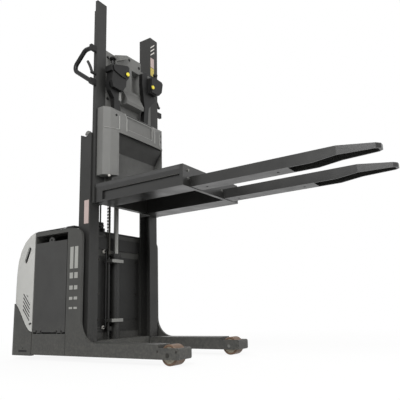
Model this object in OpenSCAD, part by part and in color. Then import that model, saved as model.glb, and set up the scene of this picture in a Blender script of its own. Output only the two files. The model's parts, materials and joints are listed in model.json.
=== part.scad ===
// Order picker truck with a lifting operator platform, forks forward along +X.
// All sizes are in millimetres, +Z is up and the floor is at z = 0.

/* [Overall] */
// Length over the rear bumper and the fork tips
overall_length = 2800; // [2600:10:3000]
// Width of the body and of the legs
body_width = 842; // [800:2:900]
// Height of the body at its rear edge
body_height = 940; // [900:5:1000]
// Gap between the floor and the chassis
ground_gap = 38; // [30:1:50]

/* [Chassis] */
// Height of the legs above the floor
leg_height = 124; // [116:1:130]
// Width of one leg
leg_width = 130; // [120:1:140]
// Distance from the rear end to the load wheel axle
load_axle_at = 1520; // [1480:5:1560]
// Thickness of the side plates
side_plate_t = 20; // [12:1:24]
// Length of the leg's wheel housing in front of its axle
leg_nose = 86; // [84:1:120]

/* [Wheels] */
// Diameter of the load wheels
load_wheel_d = 125; // [110:1:130]
// Width of the load wheels
load_wheel_w = 94; // [80:1:96]
// Diameter of the drive wheel
drive_wheel_d = 230; // [200:5:240]
// Width of the drive wheel
drive_wheel_w = 70; // [60:1:80]
// Diameter of the load wheel axles
load_axle_d = 25; // [20:1:30]

/* [Body] */
// Distance from the rear end to the hood's front edge
hood_length = 260; // [250:1:275]
// Radius of the rear corners seen from above
rear_corner_r = 60; // [50:5:110]
// Wall of the hood and of the bumper
hood_wall = 12; // [8:1:16]
// Thickness of the battery doors
door_t = 14; // [10:1:18]
// Drop from the body's top edge to the battery doors
door_drop = 90; // [80:5:120]
// Number of louvres on each side of the hood
louvre_count = 6; // [3:1:8]

/* [Mast] */
// Top of the fixed mast rails
mast_top = 1640; // [1600:5:1700]
// Top of the lifting rails
rail_top = 2740; // [2600:10:2780]
// Depth of the fixed mast rails along the truck
mast_depth = 113; // [110:1:120]
// Wall of the fixed mast rails
mast_wall = 12; // [10:1:13]
// Outer diameter of the lift cylinder
cylinder_d = 65; // [60:1:70]
// Diameter of the lift rod
rod_d = 38; // [30:1:44]

/* [Platform] */
// Underside of the platform above the floor
platform_bottom = 1103; // [1095:1:1120]
// Thickness of the platform
platform_t = 141; // [130:1:150]
// Width of the platform
platform_w = 708; // [680:2:716]
// Length of the platform
platform_l = 756; // [720:2:780]
// Thickness of the plate that carries the forks
front_plate_t = 26; // [16:1:30]

/* [Forks] */
// Width over both forks
fork_spread = 540; // [500:2:560]
// Width of one fork
fork_w = 122; // [100:1:140]
// Thickness of a fork at its root
fork_t = 69; // [60:1:80]
// Thickness of a fork at its tip
tip_t = 27; // [20:1:35]
// Width of a fork's tip
tip_w = 78; // [60:1:100]
// Diameter of the holes in the fork undersides
fork_hole_d = 16; // [10:1:20]

/* [Console] */
// Height of the console's rim above the floor
console_top = 1830; // [1780:5:1860]
// Half width of the console
console_half_w = 346; // [330:1:352]
// How far the console bulges forward in its middle
console_bulge = 76; // [40:1:90]

/* [Hidden] */
$fn = 64;

paint = "#52524f";
dark = "#3f3f3d";
pale = "#bcbcba";
steel = "#8e8e8c";
moulded = "#6a6a6a";
black = "#2a2a2a";
tyre_brown = "#8a7262";
cream = "#d8d0bc";
yellow = "#e8d84a";

// Places along the truck, measured from its rear end
rear_x = -overall_length / 2;
function along(d) = rear_x + d;
half_w = body_width / 2;
leg_in = half_w - leg_width;
mast_foot_in = half_w - 135;
hood_x = along(hood_length);
shell_gap = 6;
shell_x = hood_x + shell_gap;
door_x0 = hood_x + 16;
door_x1 = hood_x + 361;
plate_x = door_x1 + 6;
front_wall_t = 15;
front_wall_x = plate_x + 28;
front_wall_end = front_wall_x + front_wall_t;
mast_gap = 16;
mast_x = front_wall_end + mast_gap;
mast_end = mast_x + mast_depth;
mast_out = half_w - 44;
plate_end = mast_end - 24;
rail_gap = 5;
flange_x = mast_end + rail_gap;
flange_t = 24;
rail_end = flange_x + flange_t;
rail_x = mast_x + mast_wall + 6;
rail_wall = 12;
rail_in = mast_foot_in - 5 - rail_wall;
tray_z = 186;
base_z = 130;
load_axle_x = along(load_axle_at);
load_y = leg_in + leg_width / 2;
housing_z = leg_height - 19;
drive_x = along(155);
wheel_clear = 8;
wheel_sweep_r = norm([drive_wheel_d, drive_wheel_w]) / 2;
fork_x1 = -rear_x;
door_top = body_height - door_drop;
platform_top = platform_bottom + platform_t;
platform_x1 = rail_end + platform_l;
plate_x1 = platform_x1 + front_plate_t;
fork_z0 = platform_bottom + 3;
fork_y = (fork_spread - fork_w) / 2;

// Outline helpers: a profile in the XZ plane or in the YZ plane, extruded
function arc(cx, cy, r, a0, a1, n) =
    [for (i = [0:n]) let (a = a0 + (a1 - a0) * i / n) [cx + r * cos(a), cy + r * sin(a)]];

module side_profile(points, y0, y1) {
    translate([0, y1, 0]) rotate([90, 0, 0]) linear_extrude(y1 - y0) polygon(points);
}

module front_profile(points, x0, x1) {
    translate([x0, 0, 0]) rotate([90, 0, 90]) linear_extrude(x1 - x0) polygon(points);
}

module plan_profile(points, z0, z1) {
    translate([0, 0, z0]) linear_extrude(z1 - z0) polygon(points);
}

module block(low, high) {
    translate(low) cube(high - low);
}

module bar_y(x, z, d, y0, y1) {
    translate([x, y0, z]) rotate([-90, 0, 0]) cylinder(d = d, h = y1 - y0);
}

module other_side(left) {
    mirror([0, left ? 1 : 0, 0]) children();
}

// Chassis: a tray under the battery, and a lower block that carries the lift cylinder
module chassis_base() color(paint) {
    difference() {
        block([shell_x, -half_w, ground_gap], [plate_x, half_w, tray_z]);
        translate([drive_x, 0, ground_gap - 1]) cylinder(r = wheel_sweep_r + wheel_clear, h = tray_z);
    }
    block([plate_x, -mast_foot_in, ground_gap], [mast_end - 7, mast_foot_in, base_z]);
}

bumper_z = 30;
bumper_wall = 28;
drive_plate_z = drive_wheel_d + 32;
drive_plate_t = 18;
bearing_r = 92;
bearing_gap = 0.5;
frame_y = 200;
frame_t = 15;

module drive_frame() color(dark) {
    difference() {
        block([rear_x + bumper_wall, -frame_y - frame_t, drive_plate_z],
            [shell_x, frame_y + frame_t, drive_plate_z + drive_plate_t]);
        translate([drive_x, 0, drive_plate_z - 1])
            cylinder(r = bearing_r + bearing_gap, h = drive_plate_t + 2);
    }
    for (y = [-frame_y - frame_t, frame_y])
        block([rear_x + bumper_wall, y, 70], [shell_x, y + frame_t, drive_plate_z]);
}

// Leg: side plate with a rounded shoulder, box beam and wheel housing, right side
shoulder_r = 80;
foot_r = 150;
plate_top0 = body_height - 8;
plate_top1 = body_height - 16;
housing_x = load_axle_x - load_wheel_d / 2 - wheel_clear;
leg_end = load_axle_x + leg_nose;
housing_t = 12;
nose_r = 12;
nose_x = load_axle_x + load_wheel_d / 2 + wheel_clear;

function leg_outline() = concat(
    [[plate_x, ground_gap], [plate_x, plate_top0]],
    arc(plate_end - shoulder_r, plate_top1 - shoulder_r, shoulder_r, 90, 0, 10),
    arc(plate_end + foot_r, leg_height + foot_r, foot_r, 180, 270, 10),
    [[housing_x, leg_height], [housing_x, ground_gap]]);

module leg(left) color(paint) other_side(left) {
    side_profile(leg_outline(), -half_w, -half_w + side_plate_t);
    block([plate_x, -half_w + side_plate_t, ground_gap], [housing_x, -leg_in, leg_height]);
    difference() {
        union() {
            for (y = [-half_w, -leg_in - housing_t])
                block([housing_x, y, ground_gap], [nose_x, y + housing_t, housing_z]);
            side_profile(concat(
                [[nose_x, ground_gap], [nose_x, housing_z]],
                arc(leg_end - nose_r, housing_z - nose_r, nose_r, 90, 0, 8),
                arc(leg_end - nose_r, ground_gap + nose_r, nose_r, 0, -90, 4)),
                -half_w, -leg_in);
        }
        bar_y(load_axle_x, load_wheel_d / 2, load_axle_d, -half_w - 1, -leg_in + 1);
    }
}

module leg_right() leg(false);
module leg_left() leg(true);

module load_axle(left) color(steel) other_side(left)
    bar_y(load_axle_x, load_wheel_d / 2, load_axle_d, -half_w + 2, -leg_in - 2);

module load_axle_right() load_axle(false);
module load_axle_left() load_axle(true);

hub_r = load_wheel_d / 2 - 14;
axle_gap = 0.4;

module load_tread(left) color(tyre_brown) other_side(left)
    translate([load_axle_x, -load_y, load_wheel_d / 2]) rotate([90, 0, 0]) difference() {
        rotate_extrude($fn = 96) polygon([
            [0, -load_wheel_w / 2], [load_wheel_d / 2 - 5, -load_wheel_w / 2],
            [load_wheel_d / 2, -load_wheel_w / 2 + 5], [load_wheel_d / 2, load_wheel_w / 2 - 5],
            [load_wheel_d / 2 - 5, load_wheel_w / 2], [0, load_wheel_w / 2]]);
        cylinder(r = hub_r, h = load_wheel_w + 2, center = true);
    }

module load_tread_right() load_tread(false);
module load_tread_left() load_tread(true);

module load_hub(left) color(cream) other_side(left)
    translate([load_axle_x, -load_y, load_wheel_d / 2]) rotate([90, 0, 0]) difference() {
        cylinder(r = hub_r, h = load_wheel_w - 4, center = true);
        cylinder(d = load_axle_d + 2 * axle_gap, h = load_wheel_w, center = true);
    }

module load_hub_right() load_hub(false);
module load_hub_left() load_hub(true);

// Plan of the rear end with rounded corners, and the side line of hood and bumper
function rear_plan(inset, x0, x1) = concat(
    [[x1, -half_w + inset]],
    arc(x0 + rear_corner_r, -half_w + rear_corner_r, rear_corner_r - inset, 270, 180, 8),
    arc(x0 + rear_corner_r, half_w - rear_corner_r, rear_corner_r - inset, 180, 90, 8),
    [[x1, half_w - inset]]);

bumper_rise = 411;
bumper_front_z = 192;
seam = 8;

// S-shaped edge between the bumper and the hood, from the rear to the hood's front
function seam_line(lift, x0, x1) = [for (i = [0:12]) let (t = i / 12)
    [x0 + (x1 - x0) * t,
     bumper_front_z + lift + (bumper_rise - bumper_front_z) * (1 + cos(180 * t)) / 2]];

module rear_bumper() color(dark) difference() {
    intersection() {
        side_profile(concat(
            [[hood_x, bumper_z], [rear_x + 14, bumper_z], [rear_x, bumper_z + 18]],
            seam_line(0, along(23), hood_x)), -half_w, half_w);
        plan_profile(rear_plan(0, rear_x, hood_x), 0, bumper_rise + 20);
    }
    plan_profile(rear_plan(bumper_wall, rear_x, hood_x + 1), 0, bumper_rise + 20);
}

// Hood: rear line leaning forward, rounded into the top
function hood_line(inset) = concat(
    [[hood_x - inset / 4, bumper_front_z - 40], [hood_x - inset / 4, body_height - inset]],
    [[along(200), body_height - 22 - inset], [along(141 + inset / 2), body_height - 68 - inset],
     [along(100 + inset), body_height - 128 - inset], [along(71 + inset), body_height - 201],
     [along(50 + inset), body_height - 310], [along(36 + inset), body_height - 435],
     [along(23 + inset), bumper_rise], [along(10 + inset), bumper_front_z - 40]]);

slot_r = 18;
louvre_top = [along(176), 470];
louvre_step = [9, -36];
louvre_r = 6;
louvre_half = 22;

module slot_through(p, q, r) {
    a = atan2(q[1] - p[1], q[0] - p[0]);
    side_profile(concat(arc(q[0], q[1], r, a - 90, a + 90, 8), arc(p[0], p[1], r, a + 90, a + 270, 8)),
        -half_w - 5, half_w + 5);
}

// Hood and the pins it sits on: it lifts straight off the two pins
pin_x = hood_x - 22;
pin_d = 12;
pin_y = 250;
pin_foot_z = body_height - 60;
lug_t = 10;
boss_z = body_height - 42;
boss_h = 28;
pin_h = 25;

module motor_hood() color(pale) {
    difference() {
        intersection() {
            difference() {
                side_profile(hood_line(0), -half_w, half_w);
                side_profile(concat([[hood_x + 1, 0], [rear_x - 1, 0], [rear_x - 1, bumper_rise]],
                    seam_line(seam, along(23), hood_x + 1)), -half_w - 1, half_w + 1);
            }
            plan_profile(rear_plan(0, along(14), hood_x), 0, body_height + 1);
        }
        intersection() {
            side_profile(hood_line(hood_wall), -half_w, half_w);
            plan_profile(rear_plan(hood_wall, along(14), hood_x + 1), 0, body_height);
        }
        block([hood_x - hood_wall / 3 - 1, -half_w + hood_wall, 0],
            [hood_x + 1, half_w - hood_wall, boss_z]);
        slot_through([along(198), body_height - 125], [along(158), body_height - 212], slot_r);
        for (i = [0:louvre_count - 1]) {
            mid = louvre_top + i * louvre_step;
            slot_through(mid + [-louvre_half, 14], mid + [louvre_half, -14], louvre_r);
        }
    }
    for (y = [-pin_y, pin_y]) translate([pin_x, y, boss_z]) difference() {
        cylinder(r = pin_d / 2 + 8, h = boss_h);
        translate([0, 0, -1]) cylinder(r = pin_d / 2 + 0.5, h = pin_foot_z + lug_t + pin_h + 2 - boss_z);
    }
}

module hood_pins() color(steel) for (y = [-pin_y, pin_y]) {
    block([pin_x - 16, y - 20, pin_foot_z], [shell_x, y + 20, pin_foot_z + lug_t]);
    translate([pin_x, y, pin_foot_z + lug_t]) cylinder(d = pin_d, h = pin_h);
}

// Body shell: rear wall, top and front wall around the battery, open at both sides
shell_t = 10;
recess_top = body_height - 35;

module body_shell() color(paint) {
    block([shell_x, -half_w, tray_z], [shell_x + shell_t, half_w, recess_top]);
    side_profile([[shell_x, recess_top], [front_wall_end, recess_top],
        [front_wall_end, body_height - 14], [front_wall_end - 10, body_height - 9],
        [shell_x, body_height - 1]], -half_w + side_plate_t, half_w - side_plate_t);
    for (s = [-1, 1])
        side_profile([[shell_x, recess_top], [plate_x, recess_top], [plate_x, plate_top0],
            [shell_x, body_height - 1]], min(s * half_w, s * (half_w - side_plate_t)),
            max(s * half_w, s * (half_w - side_plate_t)));
    block([front_wall_x, -leg_in, base_z], [front_wall_end, leg_in, recess_top]);
    for (s = [-1, 1])
        block([front_wall_x, min(s * leg_in, s * (half_w - side_plate_t)), leg_height],
            [front_wall_end, max(s * leg_in, s * (half_w - side_plate_t)), recess_top]);
}

battery_gap = 12;

module battery() color(dark)
    block([shell_x + shell_t + battery_gap, -half_w + 32, tray_z],
        [front_wall_x - battery_gap, half_w - 32, door_top - 20]);

// Battery door: a flat panel with a round latch tab, on barrels along its lower edge
door_axis_y = -half_w + door_t / 2;
barrel_r = 6;
door_axis_z = tray_z + 5 + barrel_r;
door_mid_x = (door_x0 + door_x1) / 2;
barrel_at = 110;
barrel_l = 36;
hinge_pin_d = 6;
knuckle_t = 10;
knuckle_gap = 2;
notch_l = barrel_l + 2 * (knuckle_gap + knuckle_t + 3);
notch_h = 12;
tab_r = 28;
tab_hole_r = 9;

module battery_door(left) color(dark) other_side(left) difference() {
    union() {
        difference() {
            block([door_x0, -half_w, door_axis_z], [door_x1, -half_w + door_t, door_top]);
            for (x = [-barrel_at, barrel_at])
                block([door_mid_x + x - notch_l / 2, -half_w - 1, door_axis_z - 1],
                    [door_mid_x + x + notch_l / 2, -half_w + door_t + 1, door_axis_z + notch_h]);
        }
        translate([0, -half_w + 2, 0]) side_profile(concat([[door_mid_x - tab_r, door_top - 1]],
            arc(door_mid_x, door_top + 6, tab_r, 180, 0, 16), [[door_mid_x + tab_r, door_top - 1]]),
            0, door_t - 4);
        for (x = [-barrel_at, barrel_at]) translate([door_mid_x + x - barrel_l / 2, door_axis_y, door_axis_z]) {
            rotate([0, 90, 0]) cylinder(r = barrel_r, h = barrel_l);
            block([0, -barrel_r, 0], [barrel_l, barrel_r, notch_h + 1]);
        }
    }
    bar_y(door_mid_x, door_top + 14, 2 * tab_hole_r, -half_w - 1, -half_w + door_t + 1);
    for (x = [-barrel_at, barrel_at])
        translate([door_mid_x + x - barrel_l / 2 - 1, door_axis_y, door_axis_z])
            rotate([0, 90, 0]) cylinder(d = hinge_pin_d + 0.6, h = barrel_l + 2);
}

module battery_door_right() battery_door(false);
module battery_door_left() battery_door(true);

// Hinge knuckles and pins of the doors, standing on the tray
module door_hinges() color(steel) for (s = [0, 1]) mirror([0, s, 0])
    for (x = [door_mid_x - barrel_at, door_mid_x + barrel_at]) {
        reach = barrel_l / 2 + knuckle_gap;
        for (x0 = [x - reach - knuckle_t, x + reach])
            block([x0, door_axis_y - 4, tray_z], [x0 + knuckle_t, door_axis_y + 4, door_axis_z + 4]);
        translate([x - reach, door_axis_y, door_axis_z]) rotate([0, 90, 0])
            cylinder(d = hinge_pin_d, h = 2 * reach);
    }

// Drive unit: steering bearing, yoke and gearbox around the wheel, motor on top
yoke_y = drive_wheel_w / 2 + 8;
yoke_t = 16;

module drive_head() color(dark) translate([drive_x, 0, 0]) {
    translate([0, 0, drive_plate_z - 4]) cylinder(r = bearing_r, h = drive_plate_t + 4 + bearing_gap);
    translate([0, 0, drive_plate_z + drive_plate_t + bearing_gap]) cylinder(r = bearing_r + 10, h = 14);
    difference() {
        for (s = [0, 1]) mirror([0, s, 0])
            block([-42, yoke_y, 78], [42, yoke_y + yoke_t, drive_plate_z - 4]);
        bar_y(0, drive_wheel_d / 2, 30, -yoke_y - yoke_t - 1, yoke_y + yoke_t + 1);
    }
    bar_y(0, drive_wheel_d / 2, 30, -yoke_y - yoke_t, yoke_y + yoke_t);
}

module drive_motor() color(dark)
    translate([drive_x, 0, drive_plate_z + drive_plate_t + bearing_gap + 14])
        cylinder(d = 170, h = 260);

drive_hub_r = drive_wheel_d / 2 - 30;

module drive_tread() color(black) translate([drive_x, 0, drive_wheel_d / 2]) rotate([90, 0, 0])
    difference() {
        cylinder(d = drive_wheel_d, h = drive_wheel_w, center = true, $fn = 96);
        cylinder(r = drive_hub_r, h = drive_wheel_w + 2, center = true);
    }

module drive_hub() color(steel) translate([drive_x, 0, drive_wheel_d / 2]) rotate([90, 0, 0])
    difference() {
        cylinder(r = drive_hub_r, h = drive_wheel_w - 6, center = true);
        cylinder(d = 30 + 2 * axle_gap, h = drive_wheel_w, center = true);
    }

// Fixed mast rail: a channel open to the middle, its outer web scooped at the top
scoop_r = 46;
scoop_depth = 20;

module mast_rail(left) color(dark) other_side(left) difference() {
    plan_profile([
        [mast_x, -mast_out], [mast_end, -mast_out], [mast_end, -mast_foot_in],
        [mast_end - mast_wall, -mast_foot_in], [mast_end - mast_wall, -mast_out + mast_wall],
        [mast_x + mast_wall, -mast_out + mast_wall], [mast_x + mast_wall, -mast_foot_in],
        [mast_x, -mast_foot_in]], leg_height, mast_top);
    bar_y(mast_x + scoop_r, mast_top + scoop_r - scoop_depth, 2 * scoop_r,
        -mast_out - 1, -mast_out + mast_wall);
}

module mast_rail_right() mast_rail(false);
module mast_rail_left() mast_rail(true);

// Ties behind the fixed rails: one on the body, one near the rail tops
tie_y = mast_foot_in + 44;
tie_top = body_height - 50;
tie_h = 90;
tie_t = 12;

module mast_ties() color(dark) {
    block([front_wall_end, -tie_y, tie_top - tie_h], [mast_x, tie_y, tie_top]);
    block([mast_x - tie_t, -tie_y, mast_top - 60 - tie_h], [mast_x, tie_y, mast_top - 60]);
}

// Cover on the front wall with a raised service lid and two slots
cover_t = 3;
cover_z0 = base_z + 50;
cover_z1 = tie_top - tie_h - 50;
lid_t = 5;
lid_y = [60, 235];
lid_z = [270, 690];

module front_cover() color(dark) difference() {
    union() {
        block([front_wall_end, -mast_foot_in, cover_z0], [front_wall_end + cover_t, mast_foot_in, cover_z1]);
        block([front_wall_end + cover_t, lid_y[0], lid_z[0]],
            [front_wall_end + cover_t + lid_t, lid_y[1], lid_z[1]]);
    }
    for (z = [cover_z0 + 14, cover_z0 + 34])
        block([front_wall_end - 1, -230, z], [front_wall_end + cover_t + 1, -130, z + 8]);
}

// Lift cylinder with its oil pipe, and the clamps that hold both
cylinder_x = mast_x + 29;
cylinder_y = -22;
cylinder_top = 768;
gland_h = 26;
rod_gap = 1;
rod_bottom = 640;
rod_top = 1480;
pipe_d = 20;
pipe_at = [mast_x + 16, cylinder_y - 62];
pipe_top = 738;
port_z = base_z + 60;
port_h = 30;

module lift_cylinder() color(dark) {
    translate([cylinder_x, cylinder_y, 0]) difference() {
        union() {
            translate([0, 0, base_z]) cylinder(d = cylinder_d, h = cylinder_top - base_z);
            translate([0, 0, cylinder_top - gland_h]) cylinder(d = cylinder_d + 8, h = gland_h);
        }
        translate([0, 0, base_z + 4]) cylinder(d = rod_d + 2 * rod_gap, h = cylinder_top);
    }
    translate([pipe_at[0], pipe_at[1], base_z]) cylinder(d = pipe_d, h = pipe_top - base_z);
    block([pipe_at[0], pipe_at[1], port_z],
        [cylinder_x, cylinder_y - cylinder_d / 2 + 6, port_z + port_h]);
}

clamp_zs = [265, 709];
clamp_h = 24;

module cylinder_clamps() color(steel) for (z = clamp_zs) difference() {
    block([front_wall_end + cover_t, pipe_at[1] - 16, z - clamp_h / 2],
        [cylinder_x + cylinder_d / 2 + 8, cylinder_y + cylinder_d / 2 + 10, z + clamp_h / 2]);
    translate([cylinder_x, cylinder_y, z - clamp_h]) cylinder(d = cylinder_d, h = 2 * clamp_h);
    translate([pipe_at[0], pipe_at[1], z - clamp_h]) cylinder(d = pipe_d, h = 2 * clamp_h);
}

// Chain: links on a plate, one run fixed to the truck and one to the carriage
chain_y = -75;
chain_w = 22;
chain_t = 8;
pitch = 25;
pulley_r = 41;
pulley_x = cylinder_x + 25;
pulley_z = 1500;
chain_gap = 0.3;

module chain(x, z0, z1) {
    block([x, chain_y - chain_w / 2 + 3, z0], [x + chain_t, chain_y + chain_w / 2 - 3, z1]);
    for (z = [z0 + pitch / 2:pitch:z1 - 8])
        bar_y(x + chain_t / 2, z, chain_t - 1, chain_y - chain_w / 2, chain_y + chain_w / 2);
}

fixed_x = pulley_x - pulley_r - chain_gap - chain_t;
moving_x = pulley_x + pulley_r + chain_gap;
anchor_z = body_height - 150;
moving_anchor_z = platform_bottom + 40;

module lift_chain_fixed() color(steel) {
    chain(fixed_x, anchor_z, pulley_z);
    block([front_wall_end, chain_y - 16, anchor_z - 30], [fixed_x + chain_t + 6, chain_y + 16, anchor_z]);
}

module lift_chain_moving() color(steel) {
    chain(moving_x, moving_anchor_z, pulley_z);
    block([moving_x - 4, chain_y - 16, moving_anchor_z - 30], [back_x, chain_y + 16, moving_anchor_z]);
}

module lift_rod() color(steel) {
    translate([cylinder_x, cylinder_y, rod_bottom]) cylinder(d = rod_d, h = rod_top - rod_bottom);
    block([cylinder_x - 22, chain_y + 20, rod_top], [cylinder_x + 50, cylinder_y + 28, rod_top + 50]);
    bar_y(pulley_x, pulley_z, 24, chain_y - 18, chain_y + 20);
}

module chain_pulley() color(steel) difference() {
    union() {
        bar_y(pulley_x, pulley_z, 2 * pulley_r, chain_y - 16, chain_y + 16);
        for (y = [chain_y - 16, chain_y + 13])
            bar_y(pulley_x, pulley_z, 2 * pulley_r + 14, y, y + 3);
    }
    bar_y(pulley_x, pulley_z, 24, chain_y - 17, chain_y + 17);
}

// Lifting rail: a web inside the fixed channel and a flange in front of it
module lifting_rail(left) color(dark) other_side(left)
    plan_profile([
        [rail_x, -rail_in - rail_wall], [flange_x, -rail_in - rail_wall],
        [flange_x, -mast_out + rail_wall], [rail_end, -mast_out + rail_wall],
        [rail_end, -rail_in], [rail_x, -rail_in]], platform_bottom, rail_top);

module lifting_rail_right() lifting_rail(false);
module lifting_rail_left() lifting_rail(true);

roller_gap = 0.5;
roller_d = mast_depth - 2 * mast_wall - 2 * roller_gap;
roller_zs = [platform_bottom + 72, platform_bottom + 400];
roller_x = (mast_x + mast_end) / 2;
stub_l = 12;

module rail_rollers() color(steel) for (s = [0, 1]) mirror([0, s, 0])
    for (z = roller_zs) {
        bar_y(roller_x, z, roller_d, -mast_out + mast_wall + 7, -rail_in - rail_wall - stub_l);
        bar_y(roller_x, z, 30, -rail_in - rail_wall - stub_l, -rail_in - rail_wall);
    }

// Back panel between the lifting rails, with a closed pocket behind the window
back_t = 12;
back_x = rail_end - back_t;
panel_top = 2350;
window_y = [0, 95];
window_z = [2098, 2290];
pocket_t = 4;
pocket_x = back_x - 20;

module back_panel() color(moulded) difference() {
    union() {
        block([back_x, -rail_in, platform_bottom], [rail_end, rail_in, panel_top]);
        block([pocket_x, window_y[0] - pocket_t, window_z[0] - pocket_t],
            [back_x, window_y[1] + pocket_t, window_z[1] + pocket_t]);
    }
    block([pocket_x + pocket_t, window_y[0], window_z[0]], [rail_end + 1, window_y[1], window_z[1]]);
}

// Moulded tower on the panel: window frame, tilted box at its top and sloped shelf below
tower_t = 24;
tower_x = rail_end + tower_t;
tower_y = [-192, 112];
tower_top = 2404;
tower_foot = 1945;
shelf_top = 2062;
shelf_reach = 58;
shelf_y = [-108, 90];

module crosshead() color(moulded) {
    difference() {
        front_profile([
            [tower_y[0], tower_foot], [tower_y[1], tower_foot], [tower_y[1], tower_top],
            [-60, tower_top - 6], [-160, panel_top + 4], [tower_y[0], panel_top - 10]], rail_end, tower_x);
        block([rail_end - 1, window_y[0], window_z[0]], [tower_x + 1, window_y[1], window_z[1]]);
    }
    front_profile([[tower_y[0] + 16, 2290], [-84, 2342], [-84, 2376], [tower_y[0] + 16, 2330]],
        tower_x, tower_x + 26);
    side_profile([[tower_x, shelf_top], [tower_x + 10, shelf_top], [tower_x + shelf_reach, tower_foot + 24],
        [tower_x + shelf_reach - 8, tower_foot], [tower_x, tower_foot]], shelf_y[0], shelf_y[1]);
}

// Platform: side beams with a recessed web, open underneath in the middle
beam_in = 183;
cross_t = 30;
web_depth = 14;
web_z0 = platform_bottom + 14;
web_z1 = platform_top - 62;
floor_z = platform_top - 28;

module platform_frame() color(paint) {
    block([rail_end, -platform_w / 2, platform_bottom], [rail_end + cross_t, platform_w / 2, floor_z]);
    for (s = [0, 1]) mirror([0, s, 0]) difference() {
        block([rail_end + cross_t, -platform_w / 2, platform_bottom],
            [platform_x1, -beam_in, floor_z]);
        block([rail_end + cross_t + 40, -platform_w / 2 - 1, web_z0],
            [platform_x1 + 1, -platform_w / 2 + web_depth, web_z1]);
    }
}

module platform_floor() color(dark) difference() {
    block([rail_end, -platform_w / 2, floor_z], [platform_x1, platform_w / 2, platform_top]);
    block([rail_end + 14, -platform_w / 2 + 14, platform_top - 8],
        [platform_x1 - 14, platform_w / 2 - 14, platform_top + 1]);
}

module fork_plate() color(dark)
    block([platform_x1, -platform_w / 2, platform_bottom], [plate_x1, platform_w / 2, platform_top]);

// Fork: box section at the root, open channel and a taper towards the tip
taper_x = fork_x1 - 229;
sole_x = plate_x1 + 676;
slope_x = plate_x1 + 822;
hole_xs = [plate_x1 + 90, plate_x1 + 592];
hole_depth = 20;

function fork_outline(inset) = [
    [plate_x1, fork_z0 + (inset > 0 ? -1 : 0)],
    [slope_x, fork_z0 + (inset > 0 ? -1 : 0)],
    [taper_x, fork_z0 + 17 + (inset > 0 ? -18 : 0)],
    [fork_x1 - inset * 2, fork_z0 + 18 + (inset > 0 ? -19 : 0)],
    [fork_x1 - inset * 2, fork_z0 + 18 + tip_t - inset],
    [taper_x, fork_z0 + fork_t - inset],
    [plate_x1, fork_z0 + fork_t - inset]];

function fork_plan(inset) = [
    [plate_x1, -fork_w / 2 + inset], [taper_x, -fork_w / 2 + inset],
    [fork_x1 - 24 - inset, -tip_w / 2 + inset], [fork_x1 - inset, -tip_w / 2 + 20],
    [fork_x1 - inset, tip_w / 2 - 20], [fork_x1 - 24 - inset, tip_w / 2 - inset],
    [taper_x, fork_w / 2 - inset], [plate_x1, fork_w / 2 - inset]];

module fork(left) color(paint) other_side(left) translate([0, -fork_y, 0]) difference() {
    intersection() {
        side_profile(fork_outline(0), -fork_w / 2, fork_w / 2);
        plan_profile(fork_plan(0), 0, fork_z0 + fork_t + 1);
    }
    intersection() {
        side_profile(fork_outline(8), -fork_w / 2, fork_w / 2);
        plan_profile(fork_plan(8), 0, fork_z0 + fork_t + 1);
        block([sole_x, -fork_w, 0], [fork_x1, fork_w, platform_top]);
    }
    for (x = hole_xs)
        translate([x, 0, fork_z0 - 1]) cylinder(d = fork_hole_d, h = hole_depth + 1);
}

module fork_right() fork(false);
module fork_left() fork(true);

// Console: a cowl that bulges forward, over two columns and a knee recess
cowl_x = rail_end + 57;

cowl_end = cowl_x + console_bulge;
column_in = -240;
narrow_in = 302;
column_foot = platform_top + 66;
inset_t = 10;
inset_y = [-169, 129];
inset_z = [console_top - 140, console_top - 34];

function cowl_plan(inset) = concat(
    [[rail_end, -console_half_w], [rail_end, console_half_w]],
    [for (i = [0:16]) let (y = console_half_w * (1 - i / 8))
        [cowl_x - inset + console_bulge * (1 - pow(abs(y) / console_half_w, 5)), y]]);

// Underside of the cowl, falling towards the front
function under_z(x) = console_top - 140 - 0.35 * (x - rail_end);
function cowl_under() = [[rail_end, under_z(rail_end)], [cowl_end, under_z(cowl_end)]];

module console_cowl() color(moulded) difference() {
    intersection() {
        plan_profile(cowl_plan(0), console_top - 220, console_top + 40);
        side_profile(concat(cowl_under(), [[cowl_end, console_top - 60],
            [cowl_end - 14, console_top - 24], [cowl_end - 44, console_top + 8],
            [rail_end, console_top + 8]]), -console_half_w, console_half_w);
    }
    difference() {
        block([rail_end + 20, inset_y[0], inset_z[0]], [cowl_end + 1, inset_y[1], inset_z[1]]);
        plan_profile(cowl_plan(inset_t), inset_z[0] - 1, inset_z[1] + 1);
    }
}

// Lower console: two columns under the cowl's corners and a knee recess between them
recess_t = 14;

module console_lower() color(moulded) {
    side_profile([[rail_end, platform_top], [rail_end + 44, platform_top], [rail_end + 50, platform_top + 60],
        [rail_end + recess_t, platform_top + 220], [rail_end + recess_t, under_z(rail_end + recess_t)],
        [rail_end, under_z(rail_end)]], column_in, narrow_in);
    intersection() {
        plan_profile(cowl_plan(0), column_foot, console_top);
        for (y = [[-console_half_w, column_in], [narrow_in, console_half_w]])
            side_profile(concat([[cowl_end, column_foot], [rail_end, column_foot]], cowl_under()), y[0], y[1]);
    }
}

// Control pods: a steering head on the left of the photo, a lever head on a bracket beside it
pod_x = rail_end + 32;
head_t = 66;
cap_t = 8;
neck_t = 36;

function up(points) = [for (p = points) [p[0], console_top + p[1]]];

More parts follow.
